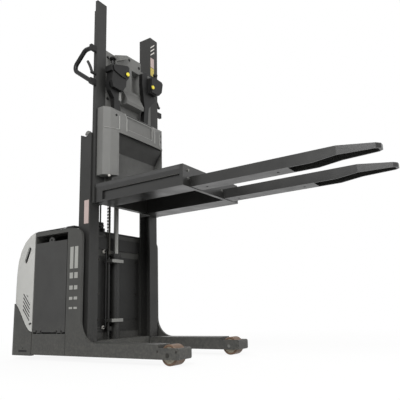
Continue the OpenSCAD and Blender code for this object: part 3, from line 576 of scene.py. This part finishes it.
# Body: motif bars, door gaskets, seams, top seal and screws
class TRUCK_OT_body_trim(bpy.types.Operator):
    """Make the motif bars, seams, seals and screws of the body"""
    bl_idname = "truck.body_trim"
    bl_label = "Body trim"

    def execute(self, context):
        trim = context.scene.truck_trim
        plate_front = low("mast_rail_right").x + 0.012
        top = high("leg_right").z
        half = -low("leg_right").y
        door = low("battery_door_right"), high("battery_door_right")
        for side, sign in SIDES:
            y0 = sign * half
            out = sign * THIN

            def bars(bm):
                z = top - 0.141
                for i in range(trim.bar_count):
                    height = 0.156 if i == 0 else 0.058 * 0.7 ** i
                    for x in (plate_front - trim.bar_width * 1.2, plate_front + trim.bar_width * 0.2):
                        ends = sorted((y0, y0 + out))
                        add_block(bm, (x, ends[0], z - height), (x + trim.bar_width, ends[1], z))
                    z -= height + (0.028 if i == 0 else 0.05)

            new_piece(f"side_bars_{side}", mesh_from("bars", bars), "truck",
                      FINISHES["pale_film"])

            def gasket(bm):
                inner = y0 - sign * 0.012
                for x in (door[0].x - 0.008, door[1].x + 0.001):
                    ends = sorted((inner, inner - sign * 0.01))
                    add_block(bm, (x, ends[0], door[0].z), (x + 0.006, ends[1], door[1].z - 0.03), 0.0015)

            new_piece(f"door_gasket_{side}", mesh_from("gasket", gasket), "truck",
                      FINISHES["battery_case"])

        def seal(bm):
            x1 = low("mast_rail_right").x - 0.006
            z1 = high("body_shell").z
            for _, sign in SIDES:
                ends = sorted((sign * (half - 0.1), sign * (half - 0.006)))
                add_block(bm, (x1 - 0.095, ends[0], z1 - 0.016), (x1, ends[1], z1 + 0.009), 0.007, 3)
                edge = sign * (half - 0.004)
                add_pipe(bm, [(x1 - 0.4, edge, z1), (x1 - 0.09, edge, z1)], 0.004, 10, 1)
            add_block(bm, (x1 - 0.05, -half + 0.1, z1 - 0.012), (x1 - 0.012, half - 0.1, z1 + 0.003), 0.004)

        new_piece("body_top_seal", mesh_from("seal", seal), "truck", FINISHES["battery_case"])

        def seams(bm):
            for _, sign in SIDES:
                ends = sorted((sign * half, sign * (half + THIN)))
                add_block(bm, (low("leg_right").x - 0.001, ends[0], 0.04), (low("leg_right").x + 0.0015, ends[1], 0.186))
                add_block(bm, (-1.283, ends[0], 0.054), (-1.186, ends[1], 0.07), 0.0003)
                add_prism(bm, [(-1.24, sign * half, 0.078), (-1.226, sign * half, 0.078), (-1.233, sign * half, 0.09)],
                          (0, sign * THIN, 0))

        new_piece("body_seams", mesh_from("seams", seams), "truck", FINISHES["battery_case"])

        screws = []
        for _, sign in SIDES:
            way = (0, sign, 0)
            screws += [((door[0].x - 0.028, sign * half, 0.26), way), ((high("leg_right").x - 0.02, sign * half, 0.085), way),
                       ((high("leg_right").x - 0.16, sign * half, 0.085), way)]
        repeat_part("body_screws", round_head(0.007, 0.003), screws, "truck", FINISHES["oiled_chain"])
        cover = low("front_cover"), high("front_cover")
        bolts = [((cover[1].x - 0.005, y, z), (1, 0, 0))
                 for y in (cover[0].y + 0.03, -0.16, 0.045, cover[1].y - 0.03)
                 for z in (cover[0].z + 0.09, (cover[0].z + cover[1].z) / 2, cover[1].z - 0.03)]
        repeat_part("cover_bolts", hex_head(0.008, 0.007), bolts, "truck", FINISHES["oiled_chain"],
                    trim.bolt_radius / 0.008)
        slope = 1.08
        for side, sign in SIDES:
            face = sign * (half - 0.0002)
            x0, x1, z0 = -1.27, -1.146, 0.527
            drop = slope * (x1 - x0)
            insert = mesh_from("insert", lambda bm: add_prism(
                bm, [(x0, face, z0), (x1, face, z0 - drop), (x1, face, z0 - drop - 0.165), (x0, face, z0 - 0.165)],
                (0, sign * 0.0007, 0)))
            new_piece(f"louvre_insert_{side}", insert, "hood", FINISHES["pale_plastic"])
            face = sign * (half + 0.0004)
            xa, xb, za = -1.252, -1.171, 0.482
            drop = slope * (xb - xa)
            louvre = mesh_from("louvre", lambda bm: add_prism(
                bm, [(xa, face, za), (xa + 0.004, face, za + 0.001), (xb, face, za - drop + 0.004),
                     (xb, face, za - drop - 0.002), (xb - 0.004, face, za - drop - 0.003), (xa, face, za - 0.007)],
                (0, sign * 0.0006, 0)))
            repeat_row(f"hood_louvres_{side}", louvre, trim.louvre_count, (0.0, 0.0, -0.0283), "hood",
                       FINISHES["battery_case"])
        hood_screws = [((-1.166, sign * half, 0.257), (0, sign, 0)) for _, sign in SIDES]
        repeat_part("hood_screws", round_head(0.008, 0.003), hood_screws, "hood", FINISHES["oiled_chain"])
        return {"FINISHED"}


# Mast: guide rollers, pipes, rail plates and chain links
class TRUCK_OT_mast_trim(bpy.types.Operator):
    """Make the pipes, brackets, chain links and plates of the mast"""
    bl_idname = "truck.mast_trim"
    bl_label = "Mast trim"

    def execute(self, context):
        trim = context.scene.truck_trim
        rail = low("mast_rail_right"), high("mast_rail_right")
        lifting = low("lifting_rail_left"), high("lifting_rail_left")

        def guides(bm):
            for _, sign in SIDES:
                outer = sign * (abs(rail[0].y) - 0.001)
                for radius, thick, width in ((0.028, 0.006, 0.014), (0.021, 0.021, 0.008)):
                    centre = Vector((rail[1].x - 0.04, 0, rail[1].z - 0.006))
                    arc = [centre + Vector((radius * math.cos(a), outer, radius * math.sin(a)))
                           for a in (math.pi * k / 14 for k in range(15))]
                    inner = [centre + Vector(((radius - thick) * math.cos(a), outer, (radius - thick) * math.sin(a)))
                             for a in (math.pi * k / 14 for k in range(14, -1, -1))]
                    if radius == thick:
                        inner = []
                    add_prism(bm, arc + inner, (0, -sign * width, 0))

        new_piece("top_guides", smooth(mesh_from("guides", guides)), "truck", FINISHES["steel"])

        wall_top = high("body_shell").z
        wall_x = high("body_shell").x

        def bracket(bm):
            add_block(bm, (wall_x, -0.197, wall_top - 0.03), (wall_x + 0.006, -0.118, wall_top + 0.07), 0.0015)
            add_block(bm, (wall_x, -0.197, wall_top + 0.03), (wall_x + 0.045, -0.15, wall_top + 0.038), 0.0015)
            add_block(bm, (wall_x, -0.15, wall_top - 0.005), (wall_x + 0.03, -0.125, wall_top + 0.02), 0.003)

        new_piece("pipe_bracket", mesh_from("bracket", bracket), "truck", FINISHES["wall_paint"])

        pipe_x = wall_x + 0.03
        pipe_y = -0.177

        def pipes(bm):
            add_pipe(bm, [(pipe_x, pipe_y, wall_top + 0.02), (pipe_x, pipe_y, wall_top + 0.3),
                          (pipe_x, pipe_y, rail[1].z - 0.1)], 0.006)
            for z in (wall_top + 0.034, rail[1].z - 0.1):
                add_rod(bm, (pipe_x, pipe_y, z - 0.012), (pipe_x, pipe_y, z + 0.018), 0.0105, 6, 0.001)
            add_pipe(bm, [(wall_x + 0.003, -0.112, 0.784), (wall_x + 0.02, -0.112, 0.784),
                          (wall_x + 0.03, -0.112, 0.76), (wall_x + 0.03, -0.112, 0.5), (wall_x + 0.03, -0.112, 0.245),
                          (wall_x + 0.02, -0.112, 0.216), (wall_x + 0.003, -0.112, 0.216)], 0.006)

        new_piece("mast_pipes", smooth(mesh_from("pipes", pipes), 50), "truck", FINISHES["battery_case"])

        def fittings(bm):
            for z in (0.784, 0.216):
                add_rod(bm, (wall_x + 0.001, -0.112, z), (wall_x + 0.016, -0.112, z), 0.014, 6, 0.0015)

        new_piece("pipe_fittings", mesh_from("fittings", fittings), "truck", FINISHES["plate_white"])

        def mast_plate(bm):
            add_block(bm, (rail[0].x + 0.055, rail[0].y - THIN, 0.955), (rail[1].x - 0.012, rail[0].y, 1.128))

        new_piece("mast_plate", mesh_from("mast_plate", mast_plate), "truck",
                  FINISHES["plate_rose"])

        front = high("lifting_rail_left").x
        y0 = lifting[0].y + 0.003
        y1 = lifting[0].y + 0.05

        def plate(z0, z1):
            return lambda bm: add_block(bm, (front, y0, z0), (front + THIN, y1, z1))

        new_piece("rail_plate_low", mesh_from("plate_low", plate(2.372, 2.45)), "carriage",
                  FINISHES["plate_yellow"])
        new_piece("rail_plate_high", mesh_from("plate_high", plate(2.455, 2.545)), "carriage",
                  FINISHES["plate_rose"])
        stripe = mesh_from("stripe", lambda bm: add_prism(
            bm, [(front, y0 + 0.002, 2.565), (front, y1 + 0.006, 2.612), (front, y1 + 0.006, 2.622),
                 (front, y0 + 0.002, 2.575)], (THIN, 0, 0)))
        repeat_row("rail_stripes", stripe, trim.stripe_count, (0.0, 0.0, 0.036), "carriage",
                   FINISHES["plate_white"])

        for node, body in (("lift_chain_fixed", "truck"), ("lift_chain_moving", "carriage")):
            bottom, end = low(node), high(node)
            x = bottom.x + (0.0161 if body == "truck" else 0.0169)
            middle = (bottom.y + end.y) / 2
            first = bottom.z + 0.06

            def link(bm):
                for y in (middle - 0.0115, middle + 0.0115):
                    add_block(bm, (x - 0.0055, y - 0.0018, first - 0.01), (x + 0.0045, y + 0.0018, first + 0.01), 0.0015, 1)
                add_rod(bm, (x, middle - 0.0148, first), (x, middle + 0.0148, first), 0.0035, 10)

            count = int((end.z - 0.04 - first) / 0.0254)
            repeat_row(f"{node}_links", mesh_from("link", link), count, (0.0, 0.0, 0.0254), body,
                       FINISHES["oiled_chain"])
        return {"FINISHED"}


# Console: rim, ribs painted as highlights, shelf lip and knee panel painted as shade, pod details, levers and knobs
class TRUCK_OT_console_trim(bpy.types.Operator):
    """Make the rim, ribs, bezels, knobs and levers around the console"""
    bl_idname = "truck.console_trim"
    bl_label = "Console trim"

    def execute(self, context):
        cowl = low("console_cowl"), high("console_cowl")
        reach = cowl[1].x - cowl[0].x
        corner = 0.057
        half = cowl[1].y

        def front(y):
            return cowl[0].x + corner + (reach - corner) * (1 - (abs(y) / half) ** 5)

        def rim(bm):
            ys = [-0.165 + 0.33 * i / 24 for i in range(25)]
            path = [(min(front(y), cowl[1].x - 0.029) + 0.001, y, cowl[1].z - 0.016) for y in ys]
            for first, second in zip(path, path[1:]):
                add_pipe(bm, [first, second], 0.0035, 8, 1)

        new_piece("console_rim", smooth(mesh_from("rim", rim), 50), "carriage",
                  FINISHES["battery_case"])

        # Ribs and lip lines are thin ridges in the lighter console plastic: painted highlights along the pilaster
        # edges and under the left bulge
        def ribs(bm):
            for y in (-0.237, -0.168, 0.165, 0.243):
                x = front(y)
                add_pipe(bm, [(x - 0.001, y, cowl[0].z + 0.03), (x - 0.001, y, cowl[1].z - 0.07)], 0.005, 10, 1)
                add_pipe(bm, [(x - 0.001, y, cowl[1].z - 0.07), (x - 0.02, y, cowl[1].z - 0.018)], 0.005, 10, 1)
            for z in (1.69, 1.796):
                ys = [-0.168 + 0.297 * i / 16 for i in range(17)]
                path = [(front(y) - 0.002, y, z) for y in ys]
                for first, second in zip(path, path[1:]):
                    add_pipe(bm, [first, second], 0.003, 8, 1)
            for sign in (-1, 1):
                ys = [sign * (0.338 - 0.1 * i / 8) for i in range(9)]
                path = [(front(y) - 0.001, y, 1.672) for y in ys]
                for first, second in zip(path, path[1:]):
                    add_pipe(bm, [first, second], 0.004, 8, 1)
            add_pipe(bm, [(front(0.129) - 0.002, 0.129, 1.69), (front(0.129) - 0.002, 0.129, 1.796)], 0.003, 8, 1)

        new_piece("console_ribs", smooth(mesh_from("ribs", ribs), 50), "carriage",
                  FINISHES["console_highlight_paint"])

        def plugs(bm):
            for y, z in ((-0.262, 1.781), (0.262, 1.77), (0.262, 1.72)):
                x = front(y)
                add_rod(bm, (x - 0.004, y, z), (x + 0.002, y, z), 0.009, 20, 0.001)
                add_rod(bm, (x + 0.001, y, z), (x + 0.0035, y, z), 0.005, 6)

        new_piece("console_plugs", mesh_from("plugs", plugs), "carriage", FINISHES["pod_black"])

        lower = low("console_lower"), high("console_lower")

        # The shelf under the cowl is coloured in the darkest console copy: painted shade below the cowl
        def shelf(bm):
            x = lower[0].x + 0.014
            add_prism(bm, [(x, -0.24, 1.665), (x + 0.075, -0.24, 1.655), (x + 0.07, -0.24, 1.635),
                           (x + 0.035, -0.24, 1.59), (x + 0.012, -0.24, 1.55), (x, -0.24, 1.53)], (0, 0.542, 0))

        # The knee panel is a thin sheet over the recess face in the darker console copy: painted shade in the recess
        def panel(bm):
            path = [(lower[0].x + 0.05, 1.3055), (x_knee, 1.463), (x_knee, 1.535)]
            back = [(a + 0.0016, b) for a, b in path]
            add_prism(bm, [(a, -0.238, b) for a, b in path + back[::-1]], (0, 0.538, 0))

        x_knee = lower[0].x + 0.0142
        new_piece("knee_panel", mesh_from("panel", panel), "carriage", FINISHES["console_recess_shade"])
        new_piece("knee_pad", smooth(mesh_from("shelf", shelf), 50), "carriage",
                  FINISHES["knee_painted_shade"])

        pods = {"right": high("control_pod_right"), "left": high("control_pod_left")}

        def bezels(bm):
            for at in ((-0.142, 2.164), (0.168, 2.18)):
                x = high("pod_buttons").x - 0.012
                add_rod(bm, (x - 0.004, *at), (x + 0.005, *at), 0.022, 32, 0.002)

        new_piece("button_bezels", smooth(mesh_from("bezels", bezels)), "carriage",
                  FINISHES["battery_case"])

        def knobs(bm):
            x = pods["left"].x - 0.019
            add_rod(bm, (x, 0.231, 2.27), (x, 0.231, 2.312), 0.009, 20)
            bmesh.ops.create_uvsphere(bm, u_segments=24, v_segments=12, radius=0.02,
                                      matrix=Matrix.Translation((x, 0.231, 2.324)))
            x = low("crosshead").x + 0.03
            add_rod(bm, (x, -0.225, 2.23), (x, -0.225, 2.285), 0.009, 16)
            add_rod(bm, (x, -0.225, 2.28), (x, -0.225, 2.302), 0.027, 32, 0.006, 0.021)

        new_piece("pod_knobs", smooth(mesh_from("knobs", knobs)), "carriage", FINISHES["pod_black"])

        # Pale strip on the pod's neck in the lighter console plastic: painted light standing for the lit panel seen
        # through the slot
        def strip(bm):
            x = low("control_pod_right").x + 0.036
            add_prism(bm, [(x, -0.194, 1.938), (x, -0.17, 1.938), (x, -0.174, 2.006), (x, -0.192, 2.006)],
                      (0.0025, 0, 0))

        new_piece("pod_strip", mesh_from("strip", strip), "carriage", FINISHES["console_highlight_paint"])

        def levers(bm):
            for _, sign in SIDES:
                face = sign * abs(low("lifting_rail_right").y)
                y = sign * 0.398
                add_rod(bm, (-0.586, face - sign * 0.001, 2.112), (-0.586, y + sign * 0.01, 2.112), 0.012, 20, 0.002)
                add_pipe(bm, [(-0.586, y, 2.112), (-0.606, y, 2.165), (-0.634, y, 2.218)], 0.0105)

        new_piece("grab_levers", smooth(mesh_from("levers", levers), 60), "carriage",
                  FINISHES["battery_case"])

        tower = low("crosshead"), high("crosshead")
        bolts = [((tower[0].x + 0.024, y, z), (1, 0, 0)) for y, z in ((-0.03, 2.37), (0.09, 2.35), (0.1, 1.98))]
        bolts += [((low("console_lower").x, y, z), (1, 0, 0)) for y, z in ((-0.25, 2.3), (-0.25, 1.95))]
        repeat_part("tower_bolts", hex_head(0.009, 0.007), bolts, "carriage", FINISHES["battery_case"])
        return {"FINISHED"}


# Rear side: lid of the battery bay and stiffeners on the back panel
class TRUCK_OT_rear_trim(bpy.types.Operator):
    """Make the lid on the body and the stiffeners behind the back panel"""
    bl_idname = "truck.rear_trim"
    bl_label = "Rear trim"

    def execute(self, context):
        trim = context.scene.truck_trim
        body = low("body_shell"), high("body_shell")
        lid_x = body[0].x + 0.03, body[1].x - 0.13
        lid_y = 0.35
        top = body[1].z

        def lid(bm):
            add_block(bm, (lid_x[0], -lid_y, top - 0.004), (lid_x[1], lid_y, top + 0.0025), 0.002)
            for sign in (-1, 1):
                ends = sorted((sign * 0.18, sign * 0.3))
                add_block(bm, (lid_x[1] - 0.07, ends[0], top), (lid_x[1] - 0.035, ends[1], top + 0.006), 0.0025)

        new_piece("bay_lid", mesh_from("lid", lid), "truck", FINISHES["painted_grey"])
        screws = [((x, y, top + 0.0025), (0, 0, 1)) for x in (lid_x[0] + 0.02, lid_x[1] - 0.015)
                  for y in (-lid_y + 0.02, -0.11, 0.11, lid_y - 0.02)]
        repeat_part("lid_screws", round_head(0.008, 0.003), screws, "truck", FINISHES["steel"],
                    trim.bolt_radius / 0.008)
        panel = low("back_panel"), high("back_panel")

        def stiffeners(bm):
            x = panel[0].x
            for sign in (-1, 1):
                near, far = sorted((sign * 0.155, sign * 0.215))
                add_prism(bm, [(x, near, panel[0].z + 0.09), (x - 0.005, near + 0.006, panel[0].z + 0.09),
                               (x - 0.005, far - 0.006, panel[0].z + 0.09), (x, far, panel[0].z + 0.09)],
                          (0, 0, panel[1].z - panel[0].z - 0.2))
            add_block(bm, (x - 0.003, -0.13, 1.9), (x, 0.13, 2.26), 0.0012)

        new_piece("panel_stiffeners", mesh_from("stiffeners", stiffeners), "carriage",
                  FINISHES["painted_dark"])
        bolts = [((panel[0].x, y, z), (-1, 0, 0)) for y in (-0.245, 0.245)
                 for z in (1.25, 1.45, 1.65, 1.85, 2.05, 2.25)]
        repeat_part("panel_bolts", hex_head(0.008, 0.005), bolts, "carriage", FINISHES["oiled_chain"],
                    trim.bolt_radius / 0.008)
        return {"FINISHED"}


# Platform and forks: mat ribs, edge strips painted as highlights, foot lamp and bolts
class TRUCK_OT_platform_trim(bpy.types.Operator):
    """Make the mat ribs, edge strips painted as highlights, lamp and bolts of platform and forks"""
    bl_idname = "truck.platform_trim"
    bl_label = "Platform trim"

    def execute(self, context):
        trim = context.scene.truck_trim
        deck = low("platform_floor"), high("platform_floor")

        margin = 0.022
        pitch = (deck[1].y - deck[0].y - 2 * margin) / trim.mat_ribs
        rib = mesh_from("rib", lambda bm: add_block(
            bm, (deck[0].x + 0.07, deck[0].y + margin + pitch * 0.2, deck[1].z - 0.008),
            (deck[1].x - 0.022, deck[0].y + margin + pitch * 0.8, deck[1].z - 0.004), 0.0015, 1))
        repeat_row("floor_mat_ribs", rib, trim.mat_ribs, (0.0, pitch, 0.0), "carriage",
                   FINISHES["floor_mat"])

        # Strips along the deck's sides in the lighter body paint: painted highlights on the edges of the dark platform
        def edges(bm):
            for sign in (-1, 1):
                y = sign * (deck[1].y - 0.003)
                ends = sorted((y, y + sign * 0.003))
                add_block(bm, (deck[0].x + 0.002, ends[0], deck[1].z - 0.006), (deck[1].x, ends[1], deck[1].z), 0.001)
                add_block(bm, (deck[0].x + 0.002, ends[0], deck[1].z - 0.064), (deck[1].x, ends[1], deck[1].z - 0.058),
                          0.001)

        new_piece("platform_edges", mesh_from("edges", edges), "carriage", FINISHES["painted_grey"])

        def lamp(bm):
            foot = 1.31
            add_rod(bm, (-0.49, -0.3, foot), (-0.49, -0.3, foot - 0.01), 0.011, 24, 0.002)
            add_rod(bm, (-0.49, -0.3, foot - 0.009), (-0.49, -0.3, foot - 0.014), 0.007, 24, 0.002)

        new_piece("foot_lamp", smooth(mesh_from("lamp", lamp)), "carriage", FINISHES["plate_white"])

        root = low("fork_right").x
        bolts = [((root, fork_y, z), (1, 0, 0)) for fork_y in
                 (low("fork_right").y - 0.028, high("fork_right").y + 0.028,
                  low("fork_left").y - 0.028, high("fork_left").y + 0.028)
                 for z in (low("fork_right").z + 0.05, low("fork_right").z + 0.105)]
        repeat_part("fork_bolts", hex_head(trim.bolt_radius, 0.008), bolts, "carriage", FINISHES["steel"])
        return {"FINISHED"}


# Wheels: hub rings and end caps on the axles
class TRUCK_OT_wheel_trim(bpy.types.Operator):
    """Make the hub rings and axle caps"""
    bl_idname = "truck.wheel_trim"
    bl_label = "Wheel trim"

    def execute(self, context):
        for side, sign in SIDES:
            wheel = low(f"load_tread_{side}"), high(f"load_tread_{side}")
            centre = (wheel[0] + wheel[1]) / 2

            def rings(bm):
                for face in (wheel[0].y, wheel[1].y):
                    way = 1 if face > centre.y else -1
                    for radius, out in ((0.034, 0.0), (0.026, 0.001)):
                        add_rod(bm, (centre.x, face - way * 0.004, centre.z), (centre.x, face - way * (0.001 - out), centre.z),
                                radius, 32, 0.001)

            new_piece(f"hub_rings_{side}", smooth(mesh_from("rings", rings)), f"load_wheel_{side}",
                      FINISHES["cream_hub"])

            def cap(bm):
                y = sign * -low("leg_right").y
                add_rod(bm, (centre.x, y, centre.z), (centre.x, y - sign * 0.003, centre.z), 0.016, 32, 0.001)
                add_rod(bm, (centre.x, y - sign * 0.001, centre.z), (centre.x, y + sign * 0.0005, centre.z), 0.007, 6)

            new_piece(f"axle_cap_{side}", mesh_from("cap", cap), "truck", FINISHES["oiled_chain"])
        return {"FINISHED"}


# Stage and camera
PHOTO_SIZE = 400.0
FOCAL_PX = 466.25
PRINCIPAL_PX = (209.99, 217.47)
CAMERA_AT = (1.8825, -2.6743, 0.3196)
CAMERA_YAW = 32.48
CAMERA_PITCH = 11.21
CAMERA_ROLL = -1.73
SENSOR_MM = 36.0


def make_camera():
    yaw, pitch, roll = (math.radians(a) for a in (CAMERA_YAW, CAMERA_PITCH, CAMERA_ROLL))
    forward = Vector((-math.sin(yaw) * math.cos(pitch), math.cos(yaw) * math.cos(pitch), math.sin(pitch)))
    level = Vector((math.cos(yaw), math.sin(yaw), 0.0))
    above = level.cross(forward)
    right = level * math.cos(roll) + above * math.sin(roll)
    up = above * math.cos(roll) - level * math.sin(roll)
    data = bpy.data.cameras.new("camera")
    data.sensor_width = SENSOR_MM
    data.lens = FOCAL_PX / PHOTO_SIZE * SENSOR_MM
    data.shift_x = (PHOTO_SIZE / 2 - PRINCIPAL_PX[0]) / PHOTO_SIZE
    data.shift_y = (PRINCIPAL_PX[1] - PHOTO_SIZE / 2) / PHOTO_SIZE
    camera = bpy.data.objects.new("camera", data)
    bpy.context.scene.collection.objects.link(camera)
    turn = Matrix((right, up, -forward)).transposed().to_4x4()
    camera.matrix_world = Matrix.Translation(CAMERA_AT) @ turn
    bpy.context.scene.camera = camera


def add_area_light(name, at, target, power, size):
    data = bpy.data.lights.new(name, "AREA")
    data.shape = "DISK"
    data.size = size
    data.energy = power
    light = bpy.data.objects.new(name, data)
    bpy.context.scene.collection.objects.link(light)
    turn = (Vector(target) - Vector(at)).to_track_quat("-Z", "Y").to_matrix().to_4x4()
    light.matrix_world = Matrix.Translation(at) @ turn


def white_to_camera(tree, white, plain, surface, share):
    """Shows white to camera, glossy and transmission rays by the share, and the plain shader otherwise."""
    path = tree.nodes.new("ShaderNodeLightPath")
    seen = path.outputs["Is Camera Ray"]
    for name in ("Is Glossy Ray", "Is Transmission Ray"):
        step = tree.nodes.new("ShaderNodeMath")
        step.operation = "MAXIMUM"
        tree.links.new(seen, step.inputs[0])
        tree.links.new(path.outputs[name], step.inputs[1])
        seen = step.outputs[0]
    scaled = tree.nodes.new("ShaderNodeMath")
    scaled.operation = "MULTIPLY"
    if isinstance(share, float):
        scaled.inputs[1].default_value = share
    else:
        tree.links.new(share, scaled.inputs[1])
    tree.links.new(seen, scaled.inputs[0])
    mixer = tree.nodes.new("ShaderNodeMixShader")
    tree.links.new(scaled.outputs[0], mixer.inputs[0])
    tree.links.new(plain, mixer.inputs[1])
    tree.links.new(white, mixer.inputs[2])
    tree.links.new(mixer.outputs[0], surface)


def make_world(strength):
    world = bpy.data.worlds.new("studio")
    bpy.context.scene.world = world
    world.use_nodes = True
    tree = world.node_tree
    plain = tree.nodes["Background"]
    plain.inputs["Color"].default_value = (1.0, 1.0, 1.0, 1.0)
    plain.inputs["Strength"].default_value = strength
    white = tree.nodes.new("ShaderNodeBackground")
    white.inputs["Color"].default_value = (1.0, 1.0, 1.0, 1.0)
    white.inputs["Strength"].default_value = 1.0
    white_to_camera(tree, white.outputs[0], plain.outputs[0], tree.nodes["World Output"].inputs["Surface"], 1.0)


def floor_material(colour, whiteness):
    g = Graph("floor")
    g.set(colour=colour, roughness=0.9)
    white = g.tree.nodes.new("ShaderNodeEmission")
    white.inputs["Color"].default_value = (1.0, 1.0, 1.0, 1.0)
    output = g.tree.nodes["Material Output"]
    reach = g.node("ShaderNodeVectorMath", {"operation": "LENGTH"}, [g.place], "Value")
    share = g.band(reach, 1.6, 4.0, whiteness, 1.0)
    white_to_camera(g.tree, white.outputs[0], g.shader.outputs[0], output.inputs["Surface"], share.socket)
    return g.material


class TRUCK_OT_stage(bpy.types.Operator):
    """Make the floor, lights, world and camera"""
    bl_idname = "truck.stage"
    bl_label = "Stage"

    def execute(self, context):
        stage = context.scene.truck_stage

        def floor(bm):
            bmesh.ops.create_grid(bm, x_segments=1, y_segments=1, size=14.0)

        piece = bpy.data.objects.new("floor", mesh_from("floor", floor))
        context.scene.collection.objects.link(piece)
        piece.data.materials.append(floor_material(tuple(stage.floor), stage.floor_white))
        make_world(stage.world_light)
        middle = (0.0, 0.0, 1.1)
        add_area_light("key", (1.6, -4.2, 4.4), middle, stage.key_power, 3.0)
        add_area_light("fill", (5.0, 1.5, 2.6), middle, stage.fill_power, 3.5)
        add_area_light("back", (-4.0, 2.8, 4.0), middle, stage.fill_power, 3.0)
        add_area_light("bounce", (1.2, -0.9, 0.02), (1.1, -0.8, 2.0), stage.bounce_power, 3.0)
        bpy.data.objects["bounce"].visible_camera = False
        bpy.data.objects["bounce"].visible_glossy = False
        make_camera()
        context.scene.view_settings.view_transform = "Standard"
        return {"FINISHED"}


class TRUCK_PT_panel(bpy.types.Panel):
    """Lists the operators and what a user would change"""
    bl_label = "Order Picker"
    bl_idname = "TRUCK_PT_panel"
    bl_space_type = "VIEW_3D"
    bl_region_type = "UI"
    bl_category = "Order Picker"

    def draw(self, context):
        layout = self.layout
        for operator in OPERATORS:
            layout.operator(operator.bl_idname)
        for group in (context.scene.truck_colours, context.scene.truck_trim, context.scene.truck_stage):
            box = layout.box()
            for key in group.bl_rna.properties.keys():
                if key not in ("name", "rna_type"):
                    box.prop(group, key)


OPERATORS = (TRUCK_OT_stage, TRUCK_OT_finishes, TRUCK_OT_body_trim, TRUCK_OT_mast_trim,
             TRUCK_OT_console_trim, TRUCK_OT_rear_trim, TRUCK_OT_platform_trim, TRUCK_OT_wheel_trim)
GROUPS = (TruckColours, TruckTrim, TruckStage)


def register():
    for cls in (*GROUPS, *OPERATORS, TRUCK_PT_panel):
        bpy.utils.register_class(cls)
    bpy.types.Scene.truck_colours = PointerProperty(type=TruckColours)
    bpy.types.Scene.truck_trim = PointerProperty(type=TruckTrim)
    bpy.types.Scene.truck_stage = PointerProperty(type=TruckStage)


def unregister():
    for name in ("truck_colours", "truck_trim", "truck_stage"):
        delattr(bpy.types.Scene, name)
    for cls in reversed((*GROUPS, *OPERATORS, TRUCK_PT_panel)):
        bpy.utils.unregister_class(cls)


def main():
    register()
    for operator in OPERATORS:
        group, name = operator.bl_idname.split(".")
        getattr(getattr(bpy.ops, group), name)()


if __name__ == "__main__":
    main()
